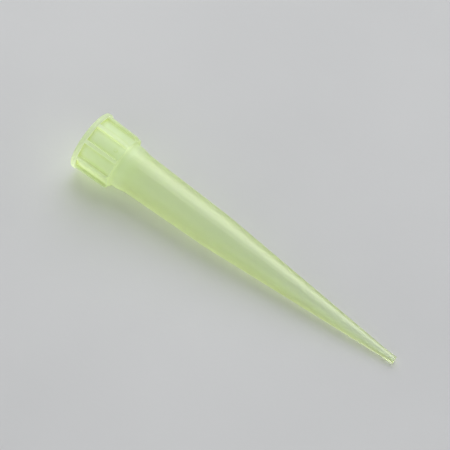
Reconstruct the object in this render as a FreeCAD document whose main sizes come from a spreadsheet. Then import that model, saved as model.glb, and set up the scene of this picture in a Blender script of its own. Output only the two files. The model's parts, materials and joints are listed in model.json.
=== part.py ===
import FreeCAD, Part
import math
import os

import Sketcher
from FreeCAD import Placement, Rotation, Vector

# A universal pipette tip for volumes up to 200 microlitres: one injection
# moulding in polypropylene. The body is modelled with the mouth of its collar
# at the origin and its axis along +X. Its placement then lays it down as it
# rests on a bench, on its rim and on the edge of its fine end, with +Z up and
# the origin under the middle of its bounding box.

NODE = "pipette_tip"

# Driving dimensions, in millimetres and degrees. A station is a distance
# along the axis from the mouth.
DIMENSIONS = {
    # rim flange round the mouth
    "rim_diameter": 8.52,
    "rim_slope_start": 0.60,
    "rim_thickness": 0.72,
    "rim_front_round": 0.30,
    # collar: the ribs taper a little and end in a steep shoulder
    "rib_start_diameter": 8.34,
    "rib_end": 5.55,
    "rib_end_diameter": 8.06,
    "rib_end_round": 0.40,
    "core_diameter": 7.24,
    "collar_end": 5.77,
    # neck that drops into a rack's hole
    "neck_diameter": 6.40,
    "neck_root_round": 0.25,
    "neck_end": 6.68,
    "neck_foot_round": 0.15,
    # barrel with a slow taper, then a fast one, then the fine end
    "barrel_start": 8.00,
    "barrel_start_diameter": 5.90,
    "barrel_end": 21.20,
    "barrel_end_diameter": 5.13,
    "taper_end": 48.00,
    "taper_end_diameter": 1.17,
    "total_length": 50.00,
    "fine_end_diameter": 1.06,
    # ribs and the pockets between them
    "rib_count": 9,
    "rib_angle": 8.0,
    "pocket_cut_diameter": 9.24,
    "pocket_floor_round": 0.12,
    "rib_edge_chamfer": 0.07,
    # gate vestige on the floor of one pocket
    "gate_station": 4.60,
    "gate_diameter": 0.45,
    "gate_stand_out": 0.12,
    "gate_chamfer": 0.05,
    # bore: lead-in, entry taper, cylindrical seat, chamber, orifice
    "mouth_diameter": 6.30,
    "lip_round": 0.15,
    "lead_in_end": 0.35,
    "entry_diameter": 5.80,
    "seat_start": 3.00,
    "seat_diameter": 5.30,
    "seat_end": 4.60,
    "chamber_start": 7.90,
    "chamber_start_diameter": 4.92,
    "chamber_end": 21.20,
    "chamber_end_diameter": 4.17,
    "orifice_diameter": 0.46,
    # turn about the axis that lays the collar between two of its ribs
    "collar_turn": 20.0,
}

# Corners of the outside, the bore and a pocket's cut, as the names of their
# station and diameter. None is the mouth's plane, or the axis.
OUTSIDE = [
    (None, "rim_diameter"),
    ("rim_slope_start", "rim_diameter"),
    ("rim_thickness", "rib_start_diameter"),
    ("rib_end", "rib_end_diameter"),
    ("collar_end", "neck_diameter"),
    ("neck_end", "neck_diameter"),
    ("barrel_start", "barrel_start_diameter"),
    ("barrel_end", "barrel_end_diameter"),
    ("taper_end", "taper_end_diameter"),
    ("total_length", "fine_end_diameter"),
]
BORE = [
    (None, "mouth_diameter"),
    ("lead_in_end", "entry_diameter"),
    ("seat_start", "seat_diameter"),
    ("seat_end", "seat_diameter"),
    ("chamber_start", "chamber_start_diameter"),
    ("chamber_end", "chamber_end_diameter"),
    ("total_length", "orifice_diameter"),
]
POCKET = [
    ("rim_thickness", "core_diameter"),
    ("collar_end", "core_diameter"),
    ("collar_end", "pocket_cut_diameter"),
    ("rim_thickness", "pocket_cut_diameter"),
]

FILLET = "PartDesign::Fillet"
CHAMFER = "PartDesign::Chamfer"
EASE_SIZE = {FILLET: "Radius", CHAMFER: "Size"}

CLOSE = 0.001


def make_sheet(doc):
    sheet = doc.addObject("Spreadsheet::Sheet", "Size")
    for row, (alias, value) in enumerate(DIMENSIONS.items(), start=1):
        sheet.set(f"A{row}", alias)
        sheet.set(f"B{row}", str(value))
        sheet.setAlias(f"B{row}", alias)
    doc.recompute()


def corner_point(station, diameter):
    return Vector(DIMENSIONS.get(station, 0), DIMENSIONS.get(diameter, 0) / 2, 0)


# ---- sketches ----


def new_sketch(body, name, plane_role):
    """A sketch on one of the body's own origin planes."""
    planes = {feature.Role: feature for feature in body.Origin.OriginFeatures}
    sketch = body.newObject("Sketcher::SketchObject", name)
    sketch.AttachmentSupport = (planes[plane_role], "")
    sketch.MapMode = "FlatFace"
    return sketch


def constrain(sketch, kind, places, value, formula):
    """Add a dimension to a sketch and bind it to a formula of the sheet's cells."""
    index = sketch.addConstraint(Sketcher.Constraint(kind, *places, value))
    sketch.setExpression(f"Constraints[{index}]", formula)


def place_start(sketch, line, station, diameter):
    """Fix where a line starts; the sketch's axes are geometries -1 and -2."""
    corner = corner_point(station, diameter)
    start = (line, 1)
    if station:
        constrain(sketch, "DistanceX", (-1, 1, *start), corner.x, f"Size.{station}")
    else:
        sketch.addConstraint(Sketcher.Constraint("PointOnObject", *start, -2))
    if diameter:
        constrain(sketch, "DistanceY", (-1, 1, *start), corner.y, f"Size.{diameter} / 2")
    else:
        sketch.addConstraint(Sketcher.Constraint("PointOnObject", *start, -1))


def draw_outline(sketch, corners):
    """A closed outline of straight lines through the named corners."""
    points = [corner_point(station, diameter) for station, diameter in corners]
    lines = [
        sketch.addGeometry(Part.LineSegment(start, end))
        for start, end in zip(points, points[1:] + points[:1])
    ]
    for line, following in zip(lines, lines[1:] + lines[:1]):
        sketch.addConstraint(Sketcher.Constraint("Coincident", line, 2, following, 1))
    for line, (station, diameter) in zip(lines, corners):
        place_start(sketch, line, station, diameter)


# ---- features ----


def turned(body, kind, name, wall):
    """A full Revolution or Groove of what lies between a wall and the axis."""
    sketch = new_sketch(body, f"{name}_outline", "XZ_Plane")
    first, last = wall[0][0], wall[-1][0]
    draw_outline(sketch, [(first, None), *wall, (last, None)])
    feature = body.newObject(kind, name)
    feature.Profile = sketch
    feature.ReferenceAxis = (sketch, ["H_Axis"])
    feature.Angle = 360


def ease_edges(body, kind, name, size, chosen):
    """A Fillet or Chamfer on those edges of the body that the test picks out."""
    body.Document.recompute()
    base = body.Tip
    edges = enumerate(base.Shape.Edges, start=1)
    picked = [f"Edge{number}" for number, edge in edges if chosen(edge)]
    if not picked:
        raise RuntimeError(f"no edges for {name}")
    eased = body.newObject(kind, name)
    eased.Base = (base, picked)
    eased.setExpression(EASE_SIZE[kind], f"Size.{size}")


def off_axis(point):
    return math.hypot(point.y, point.z)


def is_ring(edge, station, diameter):
    """Whether an edge lies on the circle that a corner makes round the axis."""
    corner = corner_point(station, diameter)
    curve = edge.Curve
    return (
        isinstance(curve, Part.Circle)
        and abs(curve.Center.x - corner.x) < CLOSE
        and abs(curve.Radius - corner.y) < CLOSE
    )


def pocket_side_height(edge):
    """Height above the pocket floor of an edge that runs along a rib, or None."""
    ends = [vertex.Point for vertex in edge.Vertexes]
    stations = [end.x for end in ends]
    in_pocket = min(stations) > DIMENSIONS["rim_thickness"] - CLOSE
    before_neck = max(stations) < DIMENSIONS["collar_end"]
    if not (in_pocket and before_neck) or max(stations) - min(stations) < 0.1:
        return None
    return max(off_axis(end) for end in ends) - DIMENSIONS["core_diameter"] / 2


def make_outside(body):
    turned(body, "PartDesign::Revolution", "outside", OUTSIDE)
    rounded_rings = [
        ("rim_front", "rim_front_round", None, "rim_diameter"),
        ("rib_ends", "rib_end_round", "rib_end", "rib_end_diameter"),
        ("neck_root", "neck_root_round", "collar_end", "neck_diameter"),
        ("neck_foot", "neck_foot_round", "neck_end", "neck_diameter"),
    ]
    for name, radius, station, diameter in rounded_rings:
        ease_edges(
            body,
            FILLET,
            name,
            radius,
            lambda edge: is_ring(edge, station, diameter),
        )


def make_pockets(body):
    """Recesses that leave the ribs standing between the rim and the shoulder."""
    sketch = new_sketch(body, "pocket_outline", "XZ_Plane")
    draw_outline(sketch, POCKET)
    pocket = body.newObject("PartDesign::Groove", "pocket")
    pocket.Profile = sketch
    pocket.ReferenceAxis = (sketch, ["H_Axis"])
    pocket.Midplane = True
    pocket.setExpression("Angle", "360 / Size.rib_count - Size.rib_angle")
    body.Document.recompute()

    pockets = body.newObject("PartDesign::PolarPattern", "pockets")
    pockets.Originals = [pocket]
    pockets.Axis = (sketch, ["H_Axis"])
    pockets.Angle = 360
    pockets.setExpression("Occurrences", "Size.rib_count")
    body.Tip = pockets

    def at_floor(edge):
        height = pocket_side_height(edge)
        return height is not None and abs(height) < CLOSE

    def at_rib_top(edge):
        height = pocket_side_height(edge)
        return height is not None and height > DIMENSIONS["pocket_floor_round"]

    ease_edges(body, FILLET, "pocket_floors", "pocket_floor_round", at_floor)
    ease_edges(body, CHAMFER, "rib_edges", "rib_edge_chamfer", at_rib_top)


def make_gate(body):
    """The small round nub where the moulding was broken off its runner."""
    sketch = new_sketch(body, "gate_outline", "XY_Plane")
    station = DIMENSIONS["gate_station"]
    diameter = DIMENSIONS["gate_diameter"]
    outline = Part.Circle(Vector(station, 0, 0), Vector(0, 0, 1), diameter / 2)
    circle = sketch.addGeometry(outline)
    sketch.addConstraint(Sketcher.Constraint("PointOnObject", circle, 3, -1))
    constrain(sketch, "DistanceX", (-1, 1, circle, 3), station, "Size.gate_station")
    constrain(sketch, "Diameter", (circle,), diameter, "Size.gate_diameter")
    gate = body.newObject("PartDesign::Pad", "gate")
    gate.Profile = sketch
    gate.setExpression("Length", "Size.core_diameter / 2 + Size.gate_stand_out")

    def on_gate_rim(edge):
        curve = edge.Curve
        return isinstance(curve, Part.Circle) and abs(curve.Radius - diameter / 2) < CLOSE

    ease_edges(body, CHAMFER, "gate_rim", "gate_chamfer", on_gate_rim)


def make_bore(body):
    body.Document.recompute()
    before = body.Shape.Volume
    turned(body, "PartDesign::Groove", "bore", BORE)
    ease_edges(
        body,
        FILLET,
        "lip",
        "lip_round",
        lambda edge: is_ring(edge, None, "mouth_diameter"),
    )
    body.Document.recompute()
    if body.Shape.Volume > 0.6 * before:
        raise RuntimeError("the bore cut too little")


def lay_down(body):
    """Tilt the axis until rim and fine end share one plane, then set it down."""
    drop = (DIMENSIONS["rim_diameter"] - DIMENSIONS["fine_end_diameter"]) / 2
    span = DIMENSIONS["total_length"] - DIMENSIONS["rim_slope_start"]
    tilt = math.degrees(math.atan2(drop, span))
    about_axis = Rotation(Vector(1, 0, 0), DIMENSIONS["collar_turn"])
    attitude = Rotation(Vector(0, 1, 0), tilt) * about_axis
    body.Placement = Placement(Vector(0, 0, 0), attitude)
    body.Document.recompute()
    box = body.Shape.optimalBoundingBox(False, False)
    middle = box.Center
    body.Placement = Placement(Vector(-middle.x, -middle.y, -box.ZMin), attitude)
    body.Document.recompute()


def check(doc, body):
    for item in doc.Objects:
        if "Invalid" in item.State or "Error" in item.State:
            raise RuntimeError(f"{item.Name} failed")
    shape = body.Shape
    if shape.isNull() or not shape.isValid() or len(shape.Solids) != 1:
        raise RuntimeError(f"{body.Label} is not one valid solid")


def main():
    doc = FreeCAD.newDocument("pipette_tip")
    make_sheet(doc)
    body = doc.addObject("PartDesign::Body", "Body")
    body.Label = NODE
    make_outside(body)
    make_pockets(body)
    make_gate(body)
    make_bore(body)
    lay_down(body)
    check(doc, body)
    os.makedirs("parts", exist_ok=True)
    body.Shape.exportStep(f"parts/{body.Label}.step")
    box = body.Shape.optimalBoundingBox(False, False)
    print(f"{body.Label}: volume {body.Shape.Volume:.1f} mm3")
    print(f"box: {box.XLength:.2f} x {box.YLength:.2f} x {box.ZLength:.2f} mm")


main()
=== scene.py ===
import json
import math

import bpy
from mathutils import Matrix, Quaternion, Vector


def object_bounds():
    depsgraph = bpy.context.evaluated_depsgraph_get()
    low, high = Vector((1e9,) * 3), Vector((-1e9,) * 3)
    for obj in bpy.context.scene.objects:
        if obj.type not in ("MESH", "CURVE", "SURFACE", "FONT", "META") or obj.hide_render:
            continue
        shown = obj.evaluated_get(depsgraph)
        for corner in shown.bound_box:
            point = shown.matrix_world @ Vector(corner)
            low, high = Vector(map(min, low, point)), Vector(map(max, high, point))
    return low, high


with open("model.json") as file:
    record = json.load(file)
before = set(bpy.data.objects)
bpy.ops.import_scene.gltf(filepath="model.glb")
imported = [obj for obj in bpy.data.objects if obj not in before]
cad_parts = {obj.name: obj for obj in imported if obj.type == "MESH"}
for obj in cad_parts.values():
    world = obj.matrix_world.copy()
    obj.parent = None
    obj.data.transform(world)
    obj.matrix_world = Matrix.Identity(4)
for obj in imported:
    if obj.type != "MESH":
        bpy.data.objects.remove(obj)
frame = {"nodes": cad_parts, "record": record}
cad_low, cad_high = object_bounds()

# Angles are in degrees and lengths in metres.

# ---- camera: where it stands round the tip, and how the tip sits in its view ----
CAMERA_AZIMUTH = 26.3
CAMERA_ELEVATION = 53.9
CAMERA_ROLL = 11.8
CAMERA_DISTANCE = 0.50
VIEW_WIDTH = 0.05851
AIM_LEFT = 0.00214
AIM_UP = 0.00194
CAMERA_CLIP_START = 0.01

# ---- the plastic's colours, linear: light sent back, light let through, and see-through; the corner colours are painted shade ----
MILK = (0.80, 0.915, 0.77)
# painted shade: the milky colour, darker in the corners between the ribs
MILK_PAINTED_CORNER_SHADE = (0.43, 0.55, 0.12)
MILK_ON_RIBS = (0.90, 0.99, 0.86)
GLOW = (0.88, 0.95, 0.62)
# painted shade: the glowing colour, darker in the corners between the ribs
GLOW_PAINTED_CORNER_SHADE = (0.74, 0.82, 0.16)
GLOW_ON_RIBS = (0.94, 1.0, 0.74)
CLEAR = (0.91, 0.962, 0.89)

# ---- how milky a wall is, from the mouth (0) to the fine end (1), and how much of that glows ----
HAZE = ((0.0, 0.62), (0.10, 0.62), (0.135, 0.36), (0.19, 0.24), (0.5, 0.16), (1.0, 0.04))
HAZE_AT_EDGE = 0.95
EDGE_BLEND = 0.30
GLOW_SHARE = 0.62

# ---- painted shade in the corners between the ribs: its reach, and how open a deep corner and a flat wall are ----
PAINTED_SHADE_REACH = 0.0007
PAINTED_SHADE_OPENNESS = (0.35, 0.97)

# ---- how far off the tip's axis the collar turns from pocket to rib ----
POCKET_TO_RIB = (0.0038, 0.0041)

# ---- streaks: how often they change along and across the tip, and the darkest and palest ----
STREAKS_PER_METRE = (90.0, 1400.0, 1400.0)
STREAK_SHADES = (0.97, 1.0)

# ---- the plastic's surface ----
REFRACTIVE_INDEX = 1.49
PLASTIC_ROUGHNESS = (0.32, 0.42)
PLASTIC_CLOUDS_PER_METRE = 260.0
PLASTIC_GRAINS_PER_METRE = 2600.0
PLASTIC_GRAIN_HEIGHT = 0.00004
PLASTIC_GRAIN_STRENGTH = 0.25

# ---- how much lamp light passes a wall's outer and inner faces, and its colour ----
PASS_IN = 0.38
PASS_OUT = 1.0
VEIL = (0.975, 0.985, 0.92)

# ---- the floor: where it is whole, where it has faded away, and its surface ----
FLOOR_FULL = 0.15
FLOOR_GONE = 0.70
FLOOR_PALE = (0.70, 0.71, 0.72)
FLOOR_SHADE = (0.65, 0.66, 0.67)
FLOOR_PALENESS = (0.3, 0.7)
FLOOR_ROUGHNESS = (0.55, 0.70)
FLOOR_CLOUDS_PER_METRE = 22.0
FLOOR_GRAINS_PER_METRE = 1800.0
FLOOR_GRAIN_HEIGHT = 0.00005
FLOOR_GRAIN_STRENGTH = 0.15


# ---- material helpers ----


def add(tree, kind, **sockets):
    """A node of that kind. A socket's name has _ for its spaces, and takes a value or a link."""
    node = tree.nodes.new(kind)
    for name, value in sockets.items():
        socket = node.inputs[name.replace("_", " ")]
        if isinstance(value, bpy.types.NodeSocket):
            tree.links.new(value, socket)
        else:
            socket.default_value = value
    return node


def new_material(name):
    material = bpy.data.materials.new(name)
    material.use_nodes = True
    material.node_tree.nodes.clear()
    return material, material.node_tree


def ranged(tree, value, span=(0.0, 1.0), onto=(0.0, 1.0)):
    """The value, mapped from its span onto another and held inside it."""
    node = add(tree, "ShaderNodeMapRange", Value=value)
    for side, (low, high) in (("From", span), ("To", onto)):
        node.inputs[side + " Min"].default_value = low
        node.inputs[side + " Max"].default_value = high
    return node.outputs["Result"]


def stepped(tree, value, stops):
    """A share that follows (place, share) stops as the value goes from 0 to 1."""
    ramp = add(tree, "ShaderNodeValToRGB", Fac=value)
    elements = ramp.color_ramp.elements
    elements.remove(elements[1])
    for place, share in stops[1:]:
        elements.new(place).color = (share, share, share, 1.0)
    place, share = stops[0]
    elements[0].position = place
    elements[0].color = (share, share, share, 1.0)
    return ramp.outputs["Color"]


def blended(tree, *colours_and_factors):
    """A colour that turns into the next by the factor between them, and so on."""
    first, *rest = colours_and_factors
    colour = first
    for factor, following in zip(rest[::2], rest[1::2]):
        node = tree.nodes.new("ShaderNodeMix")
        node.data_type = "RGBA"
        sides = [socket for socket in node.inputs if socket.type == "RGBA"]
        if colour is first:
            sides[0].default_value = (*first, 1.0)
        else:
            tree.links.new(colour, sides[0])
        sides[1].default_value = (*following, 1.0)
        tree.links.new(factor, node.inputs["Factor"])
        colour = next(socket for socket in node.outputs if socket.type == "RGBA")
    return colour


def combined(tree, operation, first, second):
    """The result of an operation on two linked values."""
    node = add(tree, "ShaderNodeMath")
    node.operation = operation
    tree.links.new(first, node.inputs[0])
    tree.links.new(second, node.inputs[1])
    return node.outputs["Value"]


def scaled(tree, colour, factor):
    """The colour times the factor."""
    node = add(tree, "ShaderNodeVectorMath")
    node.operation = "SCALE"
    tree.links.new(colour, node.inputs[0])
    tree.links.new(factor, node.inputs["Scale"])
    return node.outputs["Vector"]


def vector_math(tree, operation, first, second=(0.0, 0.0, 0.0)):
    """The outputs of an operation on a vector and, where it takes one, a constant."""
    node = add(tree, "ShaderNodeVectorMath")
    node.operation = operation
    tree.links.new(first, node.inputs[0])
    node.inputs[1].default_value = second
    return node.outputs


def mixed(tree, share, first, second):
    """The first shader, with that share of the second mixed in."""
    node = add(tree, "ShaderNodeMixShader", Fac=share)
    tree.links.new(first.outputs[0], node.inputs[1])
    tree.links.new(second.outputs[0], node.inputs[2])
    return node


def finish_surface(tree, shader):
    output = add(tree, "ShaderNodeOutputMaterial")
    tree.links.new(shader.outputs[0], output.inputs["Surface"])


# ---- the tip: a clear shader and a milky one, mixed by how much plastic is seen through ----


def milky_share(tree, place):
    """How milky the plastic looks: most at the collar and where a wall is seen edge on."""
    along = add(tree, "ShaderNodeSeparateXYZ", Vector=place).outputs["X"]
    station = ranged(tree, along, span=(cad_low.x, cad_high.x))
    haze = stepped(tree, station, HAZE)
    facing = add(tree, "ShaderNodeLayerWeight", Blend=EDGE_BLEND).outputs["Facing"]
    share = add(tree, "ShaderNodeMapRange", Value=facing, To_Min=haze, To_Max=HAZE_AT_EDGE)
    return share.outputs["Result"]


def painted_shade_openness(tree):
    """1 where a wall is open to all sides, and less in the corners between the ribs, where painted
    shade goes.
    """
    # The occlusion found here sets where the painted shade darkens the colours.
    corners = add(tree, "ShaderNodeAmbientOcclusion", Distance=PAINTED_SHADE_REACH)
    corners.samples = 8
    return ranged(tree, corners.outputs["AO"], span=PAINTED_SHADE_OPENNESS)


def thickness(tree, place):
    """1 on the ribs and the rim, 0 between them and on the barrel."""
    seat = next(mount for mount in frame["record"]["mounts"] if mount["name"] == "nozzle_seat")
    from_seat = vector_math(tree, "SUBTRACT", place, seat["pos_m"])["Vector"]
    across = vector_math(tree, "CROSS_PRODUCT", from_seat, seat["axis"])["Vector"]
    off_axis = vector_math(tree, "LENGTH", across)["Value"]
    return ranged(tree, off_axis, span=POCKET_TO_RIB)


def streaked(tree, place, colour):
    """The colour with faint streaks along the flow of the plastic."""
    stretched = add(tree, "ShaderNodeMapping", Vector=place, Scale=STREAKS_PER_METRE)
    flow = add(tree, "ShaderNodeTexNoise", Vector=stretched.outputs["Vector"], Scale=1.0, Detail=2.0)
    return scaled(tree, colour, ranged(tree, flow.outputs["Fac"], onto=STREAK_SHADES))


def plastic_surface(tree, place):
    """The roughness, in faint clouds, and the normal, with a fine moulded grain."""
    cloud = add(
        tree, "ShaderNodeTexNoise", Vector=place, Scale=PLASTIC_CLOUDS_PER_METRE, Detail=2.0
    )
    grain = add(
        tree,
        "ShaderNodeTexNoise",
        Vector=place,
        Scale=PLASTIC_GRAINS_PER_METRE,
        Detail=3.0,
        Roughness=0.6,
    )
    bump = add(
        tree,
        "ShaderNodeBump",
        Height=grain.outputs["Fac"],
        Strength=PLASTIC_GRAIN_STRENGTH,
        Distance=PLASTIC_GRAIN_HEIGHT,
    )
    rough = ranged(tree, cloud.outputs["Fac"], onto=PLASTIC_ROUGHNESS)
    return rough, bump.outputs["Normal"]


def plastic_shader(tree, place):
    """The clear shader and the milky one, which sends light back and lets it glow through; both carry
    painted shade in the corners between the ribs.
    """
    unshaded = painted_shade_openness(tree)
    thick = thickness(tree, place)
    # Painted shade: both colours turn darker in the corners between the ribs.
    milk_colour = blended(tree, MILK_PAINTED_CORNER_SHADE, unshaded, MILK, thick, MILK_ON_RIBS)
    glow_colour = blended(tree, GLOW_PAINTED_CORNER_SHADE, unshaded, GLOW, thick, GLOW_ON_RIBS)
    rough, normal = plastic_surface(tree, place)
    clear = add(tree, "ShaderNodeBsdfPrincipled", Base_Color=(*CLEAR, 1.0), Transmission_Weight=1.0)
    milk = add(tree, "ShaderNodeBsdfPrincipled", Base_Color=streaked(tree, place, milk_colour))
    for shader in (clear, milk):
        shader.inputs["IOR"].default_value = REFRACTIVE_INDEX
        tree.links.new(rough, shader.inputs["Roughness"])
        tree.links.new(normal, shader.inputs["Normal"])
    glow = add(tree, "ShaderNodeBsdfTranslucent", Color=glow_colour, Normal=normal)
    milky = mixed(tree, GLOW_SHARE, milk, glow)
    return mixed(tree, milky_share(tree, place), clear, milky)


def passing_share(tree):
    """How much of a shadow ray gets through the face that it meets."""
    leaving = add(tree, "ShaderNodeNewGeometry").outputs["Backfacing"]
    passing = ranged(tree, leaving, onto=(PASS_IN, PASS_OUT))
    shadow_ray = add(tree, "ShaderNodeLightPath").outputs["Is Shadow Ray"]
    return combined(tree, "MULTIPLY", shadow_ray, passing)


def tip_material():
    material, tree = new_material("yellow_polypropylene")
    place = add(tree, "ShaderNodeTexCoord").outputs["Object"]
    plastic = plastic_shader(tree, place)

    # Lamp light gets through the walls, so the shadow stays soft and lit.
    veil = add(tree, "ShaderNodeBsdfTransparent", Color=(*VEIL, 1.0))
    finish_surface(tree, mixed(tree, passing_share(tree), plastic, veil))
    return material


# ---- stage ----


def floor_material():
    material, tree = new_material("pale_floor")
    place = add(tree, "ShaderNodeTexCoord").outputs["Object"]
    cloud = add(tree, "ShaderNodeTexNoise", Vector=place, Scale=FLOOR_CLOUDS_PER_METRE, Detail=4.0)
    grain = add(tree, "ShaderNodeTexNoise", Vector=place, Scale=FLOOR_GRAINS_PER_METRE, Detail=3.0)
    bump = add(
        tree,
        "ShaderNodeBump",
        Height=grain.outputs["Fac"],
        Strength=FLOOR_GRAIN_STRENGTH,
        Distance=FLOOR_GRAIN_HEIGHT,
    )
    paleness = ranged(tree, cloud.outputs["Fac"], span=FLOOR_PALENESS)
    shader = add(
        tree,
        "ShaderNodeBsdfPrincipled",
        Base_Color=blended(tree, FLOOR_SHADE, paleness, FLOOR_PALE),
        Roughness=ranged(tree, grain.outputs["Fac"], onto=FLOOR_ROUGHNESS),
        Normal=bump.outputs["Normal"],
    )

    # Far away the floor fades out into the even surround, so no horizon shows.
    away = vector_math(tree, "LENGTH", place)["Value"]
    gone = ranged(tree, away, span=(FLOOR_FULL, FLOOR_GONE))
    finish_surface(tree, mixed(tree, gone, shader, add(tree, "ShaderNodeBsdfTransparent")))
    return material


def make_floor():
    """A square floor at the level of the tip's lowest point."""
    half = FLOOR_GONE
    level = cad_low.z
    corners = [(-half, -half, level), (half, -half, level), (half, half, level), (-half, half, level)]
    mesh = bpy.data.meshes.new("floor")
    mesh.from_pydata(corners, [], [(0, 1, 2, 3)])
    mesh.materials.append(floor_material())
    floor = bpy.data.objects.new("floor", mesh)
    bpy.context.scene.collection.objects.link(floor)


def direction(azimuth, elevation):
    """Unit vector towards a viewer: azimuth 0 looks along +Y."""
    around = math.radians(azimuth)
    up = math.radians(elevation)
    level = math.cos(up)
    return Vector((math.sin(around) * level, -math.cos(around) * level, math.sin(up)))


def make_camera():
    """A camera that faces the middle of the tip's box, rolled and then shifted a little."""
    towards = direction(CAMERA_AZIMUTH, CAMERA_ELEVATION)
    upright = (-towards).to_track_quat("-Z", "Y")
    turn = Quaternion(towards, math.radians(CAMERA_ROLL)) @ upright
    right = turn @ Vector((1, 0, 0))
    up = turn @ Vector((0, 1, 0))
    aim = (cad_low + cad_high) / 2 - AIM_LEFT * right + AIM_UP * up
    data = bpy.data.cameras.new("camera")
    data.lens = data.sensor_width * CAMERA_DISTANCE / VIEW_WIDTH
    data.clip_start = CAMERA_CLIP_START
    camera = bpy.data.objects.new("camera", data)
    camera.location = aim + CAMERA_DISTANCE * towards
    camera.rotation_mode = "QUATERNION"
    camera.rotation_quaternion = turn
    bpy.context.scene.collection.objects.link(camera)
    bpy.context.scene.camera = camera


def make_lamp(name, azimuth, elevation, distance, size, power):
    """A round area lamp that faces the origin, under the middle of the tip."""
    towards = direction(azimuth, elevation)
    data = bpy.data.lights.new(name, "AREA")
    data.shape = "DISK"
    data.size = size
    data.energy = power
    lamp = bpy.data.objects.new(name, data)
    lamp.location = distance * towards
    lamp.rotation_mode = "QUATERNION"
    lamp.rotation_quaternion = (-towards).to_track_quat("-Z", "Y")
    bpy.context.scene.collection.objects.link(lamp)


def make_world(light, seen):
    """An even surround: one strength as light, and a paler one where it is seen."""
    world = bpy.data.worlds.new("studio")
    world.use_nodes = True
    tree = world.node_tree
    path = add(tree, "ShaderNodeLightPath").outputs
    direct = combined(tree, "MAXIMUM", path["Is Camera Ray"], path["Is Glossy Ray"])
    looking = combined(tree, "MAXIMUM", direct, path["Is Transmission Ray"])
    background = tree.nodes["Background"]
    background.inputs["Color"].default_value = (1.0, 1.0, 1.0, 1.0)
    strength = ranged(tree, looking, onto=(light, seen))
    tree.links.new(strength, background.inputs["Strength"])
    bpy.context.scene.world = world


tip = frame["nodes"]["pipette_tip"]
tip.data.materials.clear()
tip.data.materials.append(tip_material())
make_floor()
make_camera()
make_lamp("key", azimuth=206.0, elevation=50.0, distance=0.9, size=1.1, power=7.0)
make_lamp("fill", azimuth=15.0, elevation=20.0, distance=1.1, size=1.3, power=2.8)
make_world(light=0.21, seen=0.62)
bpy.context.scene.view_settings.view_transform = "Standard"
